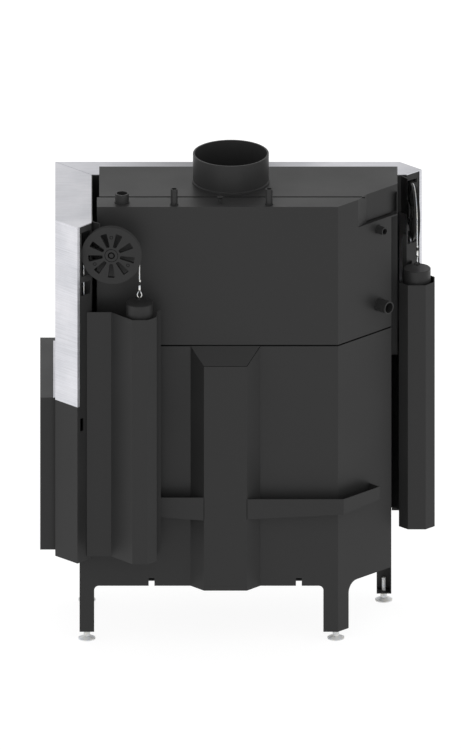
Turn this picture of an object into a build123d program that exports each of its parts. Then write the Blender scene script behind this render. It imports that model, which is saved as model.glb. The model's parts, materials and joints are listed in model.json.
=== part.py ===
from build123d import *
import math
import os

# Water-heating corner fireplace insert with a lift-up corner door, in millimetres.
# +Z is up, -Y is the front, +X is the side with the corner glass.
# Depths are measured forward from the rear wall of the body, so y = REAR_Y - depth.

# Overall plan
HALF_WIDTH = 511
FRONT_REACH = 474
REAR_REACH = 116
REAR_Y = (FRONT_REACH - REAR_REACH) / 2

# Heights above the floor
LEG_BOTTOM = 24.5
SKIRT_BOTTOM = 152
FLOOR_LOW = 164.5
BASE_TOP = 252
POST_BOTTOM = 244.5
FRAME_BOTTOM = 256
FRAME_TOP = 677
LEDGE = 690
SEAM = 817
CASING_TOP = 1174
BODY_TOP = 1201
SEAM_GAP = 4

# Body
SHEET = 2
BASE_SHEET = 3
PLATE = 4
BASE_LEFT = 409
BODY_LEFT = 364
CHAMFER_START = -260.5
CHAMFER = 138
BODY_RIGHT = CHAMFER_START - CHAMFER
BODY_FRONT = 296
BASE_FRONT = 318
LEG_WIDTH = 38
FOOT_ROD_R = 5

# Firebox inside the body
FIREBOX_REAR = 20
FIREBOX_LEFT = 416
FIREBOX_RIGHT = -375
FIREBOX_FRONT = 345
FIREBOX_CHAMFER_START = -250
NECK_LEFT = 356
NECK_FRONT = 292
MOUTH_BOTTOM = 282
MOUTH_TOP = 664
MOUTH_RIGHT = -355
MOUTH_REAR = 45

# Door casing: a channel along the front and the corner side
FRAME_PROUD_SIDE = 39
FRAME_PROUD_FRONT = 28
CASING_SIDE = HALF_WIDTH - FRAME_PROUD_SIDE
CASING_FRONT = 402
CHANNEL = 94
END_SLANT = 57.5
SIDE_END = -25
MITRE_WIDE = 1.2
MITRE_DEEP = 0.8
FRONT_END = -420
SKIN_END = 14
FIN_TOP = 715

# Window in the inner wall of the end posts: rear edge, front edge, notch and top bridge
POST_LIP = -32.5
POST_WINDOW_END = 2
POST_NOTCH = 1008
POST_BRIDGE = 12

# Door
DOOR_GAP = 10
DOOR_THICK = 40
DOOR_WALL = 3
DOOR_BOTTOM = 250
DOOR_TOP = 700
RAIL = 28
LOW_RAIL = 46
GLASS = 4
DOOR_END = 20
LIFT = 360

# Pulleys, cables and counterweights, placed from the side end of the casing
PULLEY_TURN = math.degrees(math.atan2(8.5, 72.3))
PITCH_R = 72.8
PULLEY_R = 78
PULLEY_THICK = 14.5
PULLEY_Z = 1092
WEIGHT_X = 253.6
WEIGHT_DEPTH = -70.5
WEIGHT_R = 35
WEIGHT_TOP = 963
WEIGHT_LONG = 226
COVER_BOTTOM = 255.5
COVER_TOP = 931
CABLE_R = 1.6
AXLE_R = 5.95
RUNNING_FIT = 0.05

# Guide rails and pulley brackets
RAIL_X = CASING_SIDE - CHANNEL + SHEET
BRACKET_PLATE = 3
BRACKET_END_R = 20
BRACKET_ARM = 34

# Pulley details: slots, dish at the front and recess for the axle's head at the rear
SLOTS = 9
SLOT_IN_R = 23
SLOT_OUT_R = 61
SLOT_IN_HALF = 4.3
SLOT_OUT_HALF = 9
PULLEY_DISH = 3
PULLEY_RIM = 66
HUB_R = 18
RECESS_R = 9.3
BOLT_RECESS = 6.5
AXLE_BORE = AXLE_R + RUNNING_FIT

# Fittings between cable and weight
EYE_RISE = 12
EYE_R = 7.5
EYE_BORE = 4
EYE_THICK = 4
LOOP_RISE = 6
LOOP_R = 7
SLEEVE_R = 3.2
SLEEVE = 13
STOP = 7
CABLE_END_TOP = WEIGHT_TOP + 62
DOOR_HOOK_TOP = 600

# Glass and handle
GLASS_SETBACK = 20
GLASS_BOTTOM = DOOR_BOTTOM + LOW_RAIL - 10
GLASS_TOP = DOOR_TOP - RAIL + 10
HANDLE_Z = 286
HANDLE_R = 8
HANDLE_LONG = 300

# Frame towards the surround, round the corner opening
FRAME_END = -10
FRAME_RIGHT = -440
FRAME_BAR = 20

# Lining, hearth and ash pit: left, right, rear and front edges of the pit
LINING = 26
HEARTH = 28
LINING_BOTTOM = BASE_TOP + PLATE + HEARTH
LINING_TOP = 668
PIT = (150, -110, 120, 270)
PIT_BOTTOM = 175
PAN_CLEARANCE = 8

# Water jacket, the gap between its two lids and the pocket at the top of the chamfer
JACKET_REAR = 64
JACKET_WALL = 34
JACKET_CHAMFER_START = -270
LEFT_STEP = 6
LID_SEAM = 70
LID_GAP = 7
GROOVE_DEEP = 6.5
POCKET = 12
POCKET_START = 52
POCKET_TURN = 82
POCKET_LEDGE = 1124.5
POCKET_GAP = 7.5
POCKET_VOID = 12
SIDE_COVER = BODY_RIGHT - 16
SIDE_PANEL_REAR = 200
SIDE_PANEL_BOTTOM = 717

# Fittings on top, placed by x and depth
COLLAR_X = 17
COLLAR_DEPTH = 186
COLLAR_R = 100
COLLAR_SPIGOT = 98.5
COLLAR_RIM = 96.8
COLLAR_BORE = 93.5
COLLAR_TALL = 79
OUTLET = (299, 35)
OUTLET_R = 17.8
OUTLET_BORE = 14
COIL_IN = (164, 19)
COIL_OUT = (-82, 19)
COIL_R = 9
COIL_BORE = 7
COIL_RISE = 43
COIL_LOW = 900
COIL_BEND = 40
SENSOR = (45.6, 30)
SENSOR_R = 4.6
SENSOR_BORE = 3.3
SENSOR_MOUTH = 8.6
SENSOR_RISE = 16.5
POCKET_DEEP = 100
WELD_TALL = 2.5
WELD_WIDE = 1.8

# Rear air duct and the channels that branch from it
DUCT_X = 31
DUCT_HALF = 90.5
DUCT_FACE_HALF = 55.7
DUCT_DEEP = 36
DUCT_TOP = 816
DUCT_FACE_TOP = 773
BAND_TOP_RIGHT = 405
BAND_LOW = 349
BAND_LOW_CORNER = 363
BAND_LOW_END = 370
BAND_ALONG = 83
BAND_TOP_LEFT = 409.5
BAND_LEFT_LOW = 346
BAND_LEFT_LOW_END = 356.5
BAND_LEFT_END = 212

# Base: lifting notches, air inlet spigot, air lever and feet
NOTCH_HALF = 7.5
NOTCH_TOP = 173
SPIGOT = (20, 160)
SPIGOT_R = 62
SPIGOT_BOTTOM = 105
LEVER_X = -120
LEVER_Z = 226
LEVER_TRAVEL = 15
AIR_HOLE_Z = 200
AIR_HOLES = 3
AIR_HOLE_PITCH = 30
PAD_R = 22.2
FOOT_NUT_R = 8.5
FOOT_TALL = 62


def y_at(depth):
    return REAR_Y - depth


# A closed outline in plan, from corners given as x and depth
def outline(corners):
    return Polygon(*[(x, y_at(depth)) for x, depth in corners], align=None)


def prism(corners, bottom, top):
    return extrude(Pos(0, 0, bottom) * outline(corners), top - bottom, dir=(0, 0, 1))


# The same open line moved sideways by a distance, with its corners mitred
def moved_line(corners, distance):
    points = [Vector(x, y_at(depth), 0) for x, depth in corners]
    runs = [(b - a).normalized() for a, b in zip(points, points[1:])]
    moved = []
    for index, point in enumerate(points):
        before = runs[max(index - 1, 0)]
        after = runs[min(index, len(runs) - 1)]
        side_before = Vector(-before.Y, before.X, 0)
        side_after = Vector(-after.Y, after.X, 0)
        middle = (side_before + side_after).normalized()
        moved.append(point + middle * (distance / middle.dot(side_before)))
    return points, moved


# A bent sheet standing upright, its bends seen in plan
def bent_sheet(corners, thickness, bottom, top):
    near, far = moved_line(corners, thickness)
    face = make_face(Polyline(*near, *reversed(far), close=True))
    return extrude(Pos(0, 0, bottom) * face, top - bottom, dir=(0, 0, 1))


def block(x_low, x_high, depth_low, depth_high, bottom, top):
    size = (x_high - x_low, depth_high - depth_low, top - bottom)
    middle = ((x_low + x_high) / 2, y_at((depth_low + depth_high) / 2), (bottom + top) / 2)
    return Pos(*middle) * Box(*size)


def cylinder_at(x, depth, bottom, top, radius):
    return Pos(x, y_at(depth), (bottom + top) / 2) * Cylinder(radius, top - bottom)


def tube_at(x, depth, bottom, top, radius, bore):
    outside = cylinder_at(x, depth, bottom, top, radius)
    return outside - cylinder_at(x, depth, bottom - 1, top + 1, bore)


# What stands at the side end of the casing stands again, mirrored, at its front end
def at_front_end(shape):
    flipped = mirror(shape, about=Plane(origin=(0, 0, 0), z_dir=(1, 1, 0)))
    x_move = REAR_Y + FRONT_END - SIDE_END
    y_move = REAR_Y - CASING_FRONT + CASING_SIDE
    return Pos(x_move, y_move, 0) * flipped


# Five-sided wall of the body or firebox
def ring(left, rear, chamfer_start, right, front, bottom, top, wall):
    def corners(inset):
        cut = inset * math.tan(math.radians(22.5))
        chamfer = chamfer_start - right
        return [
            (left - inset, rear + inset),
            (chamfer_start + cut, rear + inset),
            (right + inset, rear + chamfer - cut),
            (right + inset, front - inset),
            (left - inset, front - inset),
        ]
    return prism(corners(0), bottom, top) - prism(corners(wall), bottom - 1, top + 1)


# Opening through an upright wall, its top corners rounded
def arch(width, height, depth, left_radius, right_radius):
    low = -height / 2
    face = Rectangle(width, height)
    corners = face.vertices().sort_by(Axis.Y)[2:]
    for corner, radius in zip(corners.sort_by(Axis.X), (left_radius, right_radius)):
        match = face.vertices().sort_by_distance(corner)[0]
        face = fillet(match, radius)
    return extrude(Plane.XZ * Pos(0, -low) * face, depth / 2, both=True)


def lower_shell():
    rear_left_leg = BASE_LEFT - LEG_WIDTH
    rear_right_leg = CHAMFER_START + LEG_WIDTH
    shell = ring(BASE_LEFT, 0, CHAMFER_START, BODY_RIGHT, BASE_FRONT, LEG_BOTTOM, BASE_TOP, BASE_SHEET)
    height = SKIRT_BOTTOM - LEG_BOTTOM + 1
    rear_width = rear_left_leg - rear_right_leg
    rear_window = arch(rear_width, height, 30, 12, 12)
    middle = (rear_left_leg + rear_right_leg) / 2
    shell -= Pos(middle, y_at(0), LEG_BOTTOM - 1) * rear_window
    front_right_leg = BODY_RIGHT + LEG_WIDTH
    front_window = arch(rear_left_leg - front_right_leg, height, 30, 12, 12)
    shell -= Pos((rear_left_leg + front_right_leg) / 2, y_at(BASE_FRONT), LEG_BOTTOM - 1) * front_window
    side_low = LEG_WIDTH
    side_high = BASE_FRONT - LEG_WIDTH
    side_window = arch(side_high - side_low, height, 30, 12, 12)
    side_middle = y_at((side_low + side_high) / 2)
    shell -= Pos(BASE_LEFT, side_middle, LEG_BOTTOM - 1) * Rot(0, 0, 90) * side_window
    # The window beside the chamfered leg runs on round the corner to the front leg
    slope = CHAMFER * math.sqrt(2)
    keep = 39
    slant_window = arch(slope - keep + 20, height, 16, 12, 30)
    along = keep + (slope - keep + 20) / 2
    slant_x = CHAMFER_START - along / math.sqrt(2)
    slant_place = Pos(slant_x, y_at(along / math.sqrt(2)), LEG_BOTTOM - 1)
    shell -= slant_place * Rot(0, 0, 45) * slant_window
    right_high = block(BODY_RIGHT - 5, BODY_RIGHT + 8, CHAMFER - 6, side_high, 0, SKIRT_BOTTOM)
    shell -= right_high
    # Lifting notches in the bottom edge of the rear skirt
    for notch_x in (222.5, -159):
        shell -= block(notch_x - NOTCH_HALF, notch_x + NOTCH_HALF, -5, 8, SKIRT_BOTTOM - 1, NOTCH_TOP)
    # Air holes and the lever's slot in the front of the base
    for step in range(AIR_HOLES):
        x = LEVER_X + AIR_HOLE_PITCH * (step - 1)
        shell -= Pos(x, y_at(BASE_FRONT), AIR_HOLE_Z) * Rot(90, 0, 0) * Cylinder(8, 10)
    shell -= block(LEVER_X - 6, LEVER_X + LEVER_TRAVEL + 6, BASE_FRONT - 5, BASE_FRONT + 5, LEVER_Z - 6, LEVER_Z + 6)
    # Upper part of the sheet, up to the seam
    wall_line = [(BODY_LEFT, 0), (CHAMFER_START, 0), (BODY_RIGHT, CHAMFER), (BODY_RIGHT, 300)]
    shell += bent_sheet(wall_line, BASE_SHEET, BASE_TOP, SEAM - SEAM_GAP / 2)
    # Foot plates in the legs
    plate = BASE_SHEET
    for x, depth in foot_places():
        shell += leg_plate(x, depth, LEG_BOTTOM, LEG_BOTTOM + plate)
    return shell


def foot_places():
    return [(390, 18), (-255, 20), (-379, BASE_FRONT - 18), (390, BASE_FRONT - 18)]


def leg_plate(x, depth, bottom, top):
    if depth < 100 and x < 0:
        corners = [(-222.5, 0), (CHAMFER_START, 0), (-288, 27.5), (-268, 40), (-222.5, 40)]
        plate = prism(corners, bottom, top)
    else:
        side = 1 if x > 0 else -1
        outer = BASE_LEFT if x > 0 else BODY_RIGHT
        low = 0 if depth < 100 else BASE_FRONT - LEG_WIDTH
        inner = outer - side * LEG_WIDTH
        plate = block(min(outer, inner), max(outer, inner), low, low + LEG_WIDTH, bottom, top)
    return plate - cylinder_at(x, depth, bottom - 1, top + 1, FOOT_ROD_R + RUNNING_FIT)


def base_plate():
    low = FLOOR_LOW
    high = FLOOR_LOW + BASE_SHEET
    plate = ring_floor(BASE_LEFT, 0, CHAMFER_START, BODY_RIGHT, BASE_FRONT, low, high, BASE_SHEET)
    plate -= cylinder_at(*SPIGOT, low - 1, high + 1, SPIGOT_R - SHEET)
    return plate + tube_at(*SPIGOT, SPIGOT_BOTTOM, high, SPIGOT_R, SPIGOT_R - SHEET)


def ring_floor(left, rear, chamfer_start, right, front, bottom, top, inset):
    whole = prism([
        (left, rear), (chamfer_start, rear), (right, rear + chamfer_start - right),
        (right, front), (left, front)], bottom, top)
    return whole - ring(left, rear, chamfer_start, right, front, bottom - 1, top + 1, inset)


def ash_pit():
    left, right, rear, front = PIT
    low = PIT_BOTTOM
    box = block(right, left, rear, front, low, BASE_TOP)
    box += block(right - 8, left + 8, rear - 8, front + 8, BASE_TOP - SHEET, BASE_TOP)
    return box - block(
        right + SHEET, left - SHEET, rear + SHEET, front - SHEET, low + SHEET, BASE_TOP + 1)


def firebox_shell():
    walls = (FIREBOX_LEFT, FIREBOX_REAR, FIREBOX_CHAMFER_START, FIREBOX_RIGHT, FIREBOX_FRONT)
    box = ring(*walls, BASE_TOP, LEDGE, PLATE)
    box -= block(MOUTH_RIGHT, HALF_WIDTH, MOUTH_REAR, FRONT_REACH, MOUTH_BOTTOM, MOUTH_TOP)
    floor = ring_floor(*walls, BASE_TOP, BASE_TOP + PLATE, 0.5)
    left, right, rear, front = PIT
    floor -= block(right, left, rear, front, BASE_TOP - 1, BASE_TOP + PLATE + 1)
    return box + floor


def firebox_neck():
    neck = ring(NECK_LEFT, FIREBOX_REAR, FIREBOX_CHAMFER_START, FIREBOX_RIGHT, NECK_FRONT,
                LEDGE, SEAM + SEAM_GAP / 2, PLATE)
    ledge = ring_floor(FIREBOX_LEFT, FIREBOX_REAR, FIREBOX_CHAMFER_START, FIREBOX_RIGHT,
                       FIREBOX_FRONT, LEDGE, LEDGE + PLATE, 0.1)
    hole = ring_floor(NECK_LEFT, FIREBOX_REAR, FIREBOX_CHAMFER_START, FIREBOX_RIGHT,
                      NECK_FRONT, LEDGE - 1, LEDGE + PLATE + 1, PLATE)
    return neck + (ledge - hole)


def rear_lining():
    back = FIREBOX_REAR + PLATE + 0.5
    slab = block(-236, 396, back, back + LINING, LINING_BOTTOM, LINING_TOP)
    rib = 79
    for step in range(1, 8):
        x = -236 + step * rib
        slab -= block(x - 3, x + 3, back + LINING - 6, back + LINING + 1, LINING_BOTTOM - 1, LINING_TOP + 1)
    return slab


def side_lining():
    inset = PLATE + 0.5
    corner = 22.5
    cut = inset * math.tan(math.radians(corner))
    start = (FIREBOX_CHAMFER_START + cut - 6, FIREBOX_REAR + inset + 6)
    turn = (FIREBOX_RIGHT + inset, FIREBOX_REAR + FIREBOX_CHAMFER_START - FIREBOX_RIGHT - cut)
    end = (FIREBOX_RIGHT + inset, 330)
    slab = bent_sheet([start, turn, end], LINING - 8, LINING_BOTTOM, LINING_TOP)
    for height in (380, 480, 580):
        groove = bent_sheet([start, turn, end], LINING, height - 3, height + 3)
        groove -= bent_sheet([start, turn, end], LINING - 13, height - 4, height + 4)
        slab -= groove
    return slab


def hearth_plate():
    low = BASE_TOP + PLATE
    walls = (FIREBOX_LEFT, FIREBOX_REAR, FIREBOX_CHAMFER_START, FIREBOX_RIGHT, FIREBOX_FRONT)
    slab = ring_floor(*walls, low, low + HEARTH, PLATE + 1)
    left, right, rear, front = PIT
    return slab - block(right - 2, left + 2, rear - 2, front + 2, low - 1, low + HEARTH + 1)


def ash_pan():
    left, right, rear, front = PIT
    side = PAN_CLEARANCE
    low = PIT_BOTTOM + SHEET + 0.3
    high = BASE_TOP - 8
    pan = block(right + side, left - side, rear + side, front - side, low, high)
    pan -= block(right + side + 2, left - side - 2, rear + side + 2, front - side - 2, low + 2, high + 1)
    # Lips that the grate rests on and a hand lifts the pan by
    for edge_left, edge_right in ((left - side - 16, left - 3), (right + 3, right + side + 16)):
        lip = block(edge_left, edge_right, rear + 30, front - 30, high, high + 2)
        pan += lip
    return pan


def grate():
    left, right, rear, front = PIT
    edge = 3
    low = BASE_TOP - 5.7
    high = low + 17.7
    plate = block(right + edge, left - edge, rear + edge, front - edge, low, high)
    slots = 11
    pitch = (left - right - 30) / slots
    for step in range(slots):
        x = right + 15 + pitch * (step + 0.5)
        slot = Pos(x, y_at((rear + front) / 2), (low + high) / 2) * Box(10, 120, high - low + 2)
        plate -= chamfer(slot.edges().filter_by(Axis.Z), 3)
    return plate


# Vermiculite plate over the fire, from the rear wall forward
def baffle_plate():
    slab = Pos(60, y_at(130), 752) * Rot(-9, 0, 0) * Box(700, 240, 30)
    room = block(-240, NECK_LEFT - PLATE, FIREBOX_REAR + PLATE, 230, LEDGE + PLATE, SEAM)
    return slab & room


# Water-filled shelf in the smoke chamber, from the front wall back
def water_shelf():
    slab = Pos(0, y_at(200), 960) * Rot(10, 0, 0) * Box(800, 190, 36)
    room = block(-236, BODY_LEFT - JACKET_WALL - PLATE, 120, BODY_FRONT - JACKET_WALL - PLATE, 880, 1060)
    return slab & room


# Line of the recessed panel at the top of the chamfer, then forward along the side cover
def pocket_line():
    start = (CHAMFER_START - POCKET_START, POCKET_START)
    turn = (CHAMFER_START - POCKET_TURN + POCKET / math.sqrt(2), POCKET_TURN + POCKET / math.sqrt(2))
    side_depth = CHAMFER_START + POCKET * math.sqrt(2) - SIDE_COVER
    return [start, turn, (SIDE_COVER, side_depth), (SIDE_COVER, BODY_FRONT)]


# The same line moved into the body, as plan points again
def pocket_inside(distance):
    moved = moved_line(pocket_line(), distance)[1]
    return [(point.X, REAR_Y - point.Y) for point in moved]


# Everything on the outer side of the recessed panel
def pocket_room(distance, bottom, top):
    start = pocket_line()[0]
    inner = pocket_inside(distance)[:3]
    far = SIDE_COVER - 20
    return prism([start, *inner, (far, inner[-1][1]), (far, start[1])], bottom, top)


def jacket_shell():
    low = SEAM + SEAM_GAP / 2
    high = BODY_TOP - PLATE
    left = BODY_LEFT - LEFT_STEP
    outside = (left, 0, CHAMFER_START, BODY_RIGHT, BODY_FRONT)
    inside = (
        BODY_LEFT - JACKET_WALL, JACKET_REAR, JACKET_CHAMFER_START,
        BODY_RIGHT + JACKET_WALL, BODY_FRONT - JACKET_WALL)
    shell = ring(*outside, low, high, PLATE)
    shell += ring(*inside, low, high, PLATE)
    shell += block(left, BODY_LEFT, 0, LID_SEAM, low, high)
    shell += ring_floor(*outside, low, low + PLATE, 0.1) - ring_floor(*inside, low - 1, low + PLATE + 1, PLATE)
    # Pocket in the chamfer, with its ledge and a void behind the recessed panel
    floor = POCKET_LEDGE - PLATE
    hollow = SHEET + POCKET_VOID
    shell -= pocket_room(hollow, floor, high + 1)
    body = prism([
        (left, 0), (CHAMFER_START, 0), (BODY_RIGHT, CHAMFER), (BODY_RIGHT, BODY_FRONT),
        (left, BODY_FRONT)], floor, high)
    back = pocket_room(hollow + PLATE, floor, high) - pocket_room(hollow, POCKET_LEDGE, high + 1)
    return shell + (back & body)


def jacket_lid_rear():
    corners = [(BODY_LEFT, 0), (CHAMFER_START, 0), (CHAMFER_START - LID_SEAM, LID_SEAM), (BODY_LEFT, LID_SEAM)]
    lid = prism(corners, BODY_TOP - PLATE, BODY_TOP)
    for x, depth, radius in top_stub_places():
        lid -= cylinder_at(x, depth, BODY_TOP - 10, BODY_TOP + 1, radius)
    return lid - pocket_room(SHEET + 0.1, BODY_TOP - 10, BODY_TOP + 1)


# Front part of the top, its rear edge folded down into the groove between the lids
def jacket_lid_front():
    rear = LID_SEAM + LID_GAP
    left = BODY_LEFT - LEFT_STEP
    inner = [point for point in pocket_inside(SHEET + 0.1) if point[1] > rear]
    cheek_start, cheek_end = pocket_inside(SHEET + 0.1)[:2]
    share = (rear - cheek_start[1]) / (cheek_end[1] - cheek_start[1])
    cheek_x = cheek_start[0] + share * (cheek_end[0] - cheek_start[0])
    lid = prism([(left, rear), (cheek_x, rear), *inner, (left, BODY_FRONT)], BODY_TOP - PLATE, BODY_TOP)
    groove_end = JACKET_CHAMFER_START
    side = BODY_LEFT - JACKET_WALL - PLATE - 0.1
    fold_low = BODY_TOP - PLATE - GROOVE_DEEP
    lid += block(groove_end, side, rear, rear + SHEET, fold_low, BODY_TOP - PLATE)
    lid += block(groove_end, side, JACKET_REAR + PLATE + 0.1, rear + SHEET, fold_low, fold_low + SHEET)
    return lid - cylinder_at(COLLAR_X, COLLAR_DEPTH, BODY_TOP - 10, BODY_TOP + 1, COLLAR_BORE)


# Socket for the flue pipe, with a bead at its foot and a drawn-in rim
def flue_collar():
    section = Polyline(
        (COLLAR_BORE, 0), (COLLAR_R, 0), (COLLAR_R, 5), (COLLAR_SPIGOT, 8), (COLLAR_SPIGOT, 60),
        (COLLAR_RIM, 72), (COLLAR_RIM, COLLAR_TALL), (COLLAR_BORE, COLLAR_TALL), close=True)
    face = make_face(Plane.XZ * section)
    return Pos(COLLAR_X, y_at(COLLAR_DEPTH), BODY_TOP) * revolve(face, Axis.Z)


def top_stub_places():
    return [(*OUTLET, OUTLET_R), (*COIL_IN, COIL_R), (*COIL_OUT, COIL_R), (*SENSOR, SENSOR_R)]


def hot_water_outlet():
    socket = tube_at(*OUTLET, BODY_TOP - 12, BODY_TOP + 25, OUTLET_R, OUTLET_BORE)
    return socket + tube_at(*OUTLET, BODY_TOP, BODY_TOP + WELD_TALL, OUTLET_R + WELD_WIDE, OUTLET_BORE)


# Safety cooling loop: a pipe bent down into the water behind the smoke chamber and up again
def cooling_coil():
    top = BODY_TOP + COIL_RISE
    x_in, depth = COIL_IN
    x_out = COIL_OUT[0]
    y = y_at(depth)
    stops = [(x_in, y, top), (x_in, y, COIL_LOW), (x_out, y, COIL_LOW), (x_out, y, top)]
    path = FilletPolyline(*stops, radius=COIL_BEND)
    pipe = sweep(Plane(origin=stops[0], z_dir=(0, 0, -1)) * Circle(COIL_R), path=path)
    for x in (x_in, x_out):
        pipe += cylinder_at(x, depth, BODY_TOP, BODY_TOP + WELD_TALL, COIL_R + WELD_WIDE)
        pipe -= cylinder_at(x, depth, top - 60, top + 1, COIL_BORE)
    return pipe


# Closed pocket for a temperature probe, its mouth flared
def sensor_pocket():
    section = Polyline(
        (0, -POCKET_DEEP - 3), (SENSOR_R, -POCKET_DEEP - 3), (SENSOR_R, 11), (SENSOR_MOUTH, SENSOR_RISE),
        (SENSOR_MOUTH - 1.5, SENSOR_RISE), (SENSOR_BORE, 11), (SENSOR_BORE, -POCKET_DEEP),
        (0, -POCKET_DEEP), close=True)
    x, depth = SENSOR
    return Pos(x, y_at(depth), BODY_TOP) * revolve(make_face(Plane.XZ * section), Axis.Z)


# Stub pipe standing square to the chamfer, at a distance along it
def chamfer_stub(along, height, radius, bore, length):
    x = CHAMFER_START - along
    normal = Plane(origin=(x, y_at(along), height), z_dir=(-1, 1, 0))
    pipe = extrude(normal * Circle(radius), length) - extrude(normal * Circle(bore), length + 1)
    weld = extrude(normal * Circle(radius + WELD_WIDE), WELD_TALL) - extrude(normal * Circle(bore), WELD_TALL + 1)
    return pipe + weld


def return_stub():
    return chamfer_stub(107.5, 890, 16.85, 13.6, 35)


def drain_stub():
    return chamfer_stub(105, 1099, 10.7, 8, 23)


# Recessed panel at the top of the chamfer, running forward as the upper side cover
def corner_cover():
    panel = bent_sheet(pocket_line(), SHEET, POCKET_LEDGE + POCKET_GAP, BODY_TOP)
    outer_depth = CHAMFER_START - SIDE_COVER
    side_depth = pocket_line()[2][1]
    low = POCKET_LEDGE - PLATE
    cheek = block(SIDE_COVER, SIDE_COVER + SHEET, outer_depth, side_depth + SHEET, low, POCKET_LEDGE + 55)
    # Ledge beside the body, from the chamfer forward
    ledge = prism([
        (BODY_RIGHT - 0.1, CHAMFER + 0.1), (SIDE_COVER, outer_depth), (SIDE_COVER, BODY_FRONT),
        (BODY_RIGHT - 0.1, BODY_FRONT)], low, POCKET_LEDGE)
    skirt = block(SIDE_COVER, SIDE_COVER + SHEET, side_depth, BODY_FRONT, low, BODY_TOP)
    return panel + cheek + ledge + skirt


# Lower side cover, folded from the body outwards and forward
def side_panel():
    line = [(BODY_RIGHT, SIDE_PANEL_REAR), (SIDE_COVER, SIDE_PANEL_REAR), (SIDE_COVER, BODY_FRONT)]
    return bent_sheet(line, SHEET, SIDE_PANEL_BOTTOM, POCKET_LEDGE - PLATE)


# Trapezium air duct up the rear wall, open below, its head cut on the slant
def duct_solid(inset):
    wide = DUCT_HALF - inset * 2.4 if inset else DUCT_HALF
    narrow = DUCT_FACE_HALF - inset * 0.42
    deep = DUCT_DEEP - inset
    corners = [
        (DUCT_X + wide, 0), (DUCT_X + narrow, -deep),
        (DUCT_X - narrow, -deep), (DUCT_X - wide, 0)]
    low = SKIRT_BOTTOM - (1 if inset else 0)
    solid = prism(corners, low, DUCT_TOP)
    slope = math.degrees(math.atan2(DUCT_TOP - DUCT_FACE_TOP, DUCT_DEEP))
    drop = inset * 1.6
    cutter = Box(300, 200, 100, align=(Align.CENTER, Align.CENTER, Align.MIN))
    return solid - Pos(DUCT_X, y_at(0), DUCT_TOP - drop) * Rot(-slope, 0, 0) * cutter


def rear_air_duct():
    return duct_solid(0) - duct_solid(SHEET)


# Solid between two upright ends whose undersides stand at different heights
def tapered_run(start_line, end_line, start_low, end_low, top):
    faces = []
    for line, low in ((start_line, start_low), (end_line, end_low)):
        (xa, da), (xb, db) = line
        faces.append([(xa, y_at(da), low), (xb, y_at(db), low), (xb, y_at(db), top), (xa, y_at(da), top)])
    ends = [make_face(Polyline(*corners, close=True)) for corners in faces]
    return loft(ends)


# Outer wall and floor of an air channel that stands DUCT_DEEP off a line of the rear wall
def band_run(points, lows, top, inset):
    pieces = None
    inner, outer = moved_line(points, -(DUCT_DEEP - inset))
    for index in range(len(points) - 1):
        ends = []
        for stop in (index, index + 1):
            near = (inner[stop].X, REAR_Y - inner[stop].Y)
            far = (outer[stop].X, REAR_Y - outer[stop].Y)
            ends.append((near, far))
        run = tapered_run(ends[0], ends[1], lows[index] + inset, lows[index + 1] + inset, top + inset)
        pieces = run if pieces is None else pieces + run
    return pieces


# Open-topped channel from the duct, round the rear corner and along the chamfer
def air_channel_right():
    start = DUCT_X - DUCT_FACE_HALF
    far = BAND_ALONG
    lows = [BAND_LOW, BAND_LOW_CORNER, BAND_LOW_END]
    line = [(start, 0), (CHAMFER_START, 0), (CHAMFER_START - far, far)]
    inner_line = [(start + 5, 0), (CHAMFER_START, 0), (CHAMFER_START - far + SHEET, far - SHEET)]
    trough = band_run(line, lows, BAND_TOP_RIGHT, 0) - band_run(inner_line, lows, BAND_TOP_RIGHT, SHEET)
    return trough - duct_solid(0)


def air_channel_left():
    start = DUCT_X + DUCT_FACE_HALF
    lows = [BAND_LEFT_LOW_END, BAND_LEFT_LOW]
    line = [(BAND_LEFT_END, 0), (start, 0)]
    inner_line = [(BAND_LEFT_END - SHEET, 0), (start - 5, 0)]
    trough = band_run(line, lows, BAND_TOP_LEFT, 0) - band_run(inner_line, lows, BAND_TOP_LEFT, SHEET)
    return trough - duct_solid(0)


# Corners of the casing's plan at its side end
P1 = (CASING_SIDE, SIDE_END)
P2 = (CASING_SIDE - END_SLANT, SIDE_END - END_SLANT)
P3 = (CASING_SIDE - CHANNEL, SIDE_END - 2 * END_SLANT + CHANNEL + SHEET * math.sqrt(2))
Q1 = (FRONT_END, CASING_FRONT)
Q2 = (FRONT_END - END_SLANT, CASING_FRONT - END_SLANT)
Q3 = (FRONT_END + P3[1] - SIDE_END, CASING_FRONT - CHANNEL)
LIP = 6
P2_LIP = (P2[0] - LIP, P2[1] + LIP)
Q2_LIP = (Q2[0] + LIP, Q2[1] - LIP)
OUTER_CORNER = (CASING_SIDE, CASING_FRONT)
INNER_CORNER = (CASING_SIDE - CHANNEL, CASING_FRONT - CHANNEL)


def casing_front():
    return bent_sheet([OUTER_CORNER, Q1, Q2, Q2_LIP], -SHEET, FRAME_TOP, CASING_TOP - SHEET)


def casing_side():
    line = [P2_LIP, P2, P1, (CASING_SIDE, CASING_FRONT - SHEET)]
    sheet = bent_sheet(line, -SHEET, FRAME_TOP, CASING_TOP - SHEET)
    # Outward lip that sits on the surround frame
    return sheet + block(CASING_SIDE, CASING_SIDE + 5, FRAME_END, CASING_FRONT, FRAME_TOP, FRAME_TOP + SHEET)


def casing_top():
    corners = [OUTER_CORNER, P1, P2, P3, INNER_CORNER, Q3, Q2, Q1]
    top = prism(corners, CASING_TOP - SHEET, CASING_TOP)
    # Groove where the two halves meet
    middle_x = CASING_SIDE - CHANNEL / 2
    place = Pos(middle_x, y_at(CASING_FRONT - CHANNEL / 2), CASING_TOP) * Rot(0, 0, -45)
    return top - place * Box(2 * CHANNEL, MITRE_WIDE, 2 * MITRE_DEEP)


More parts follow.
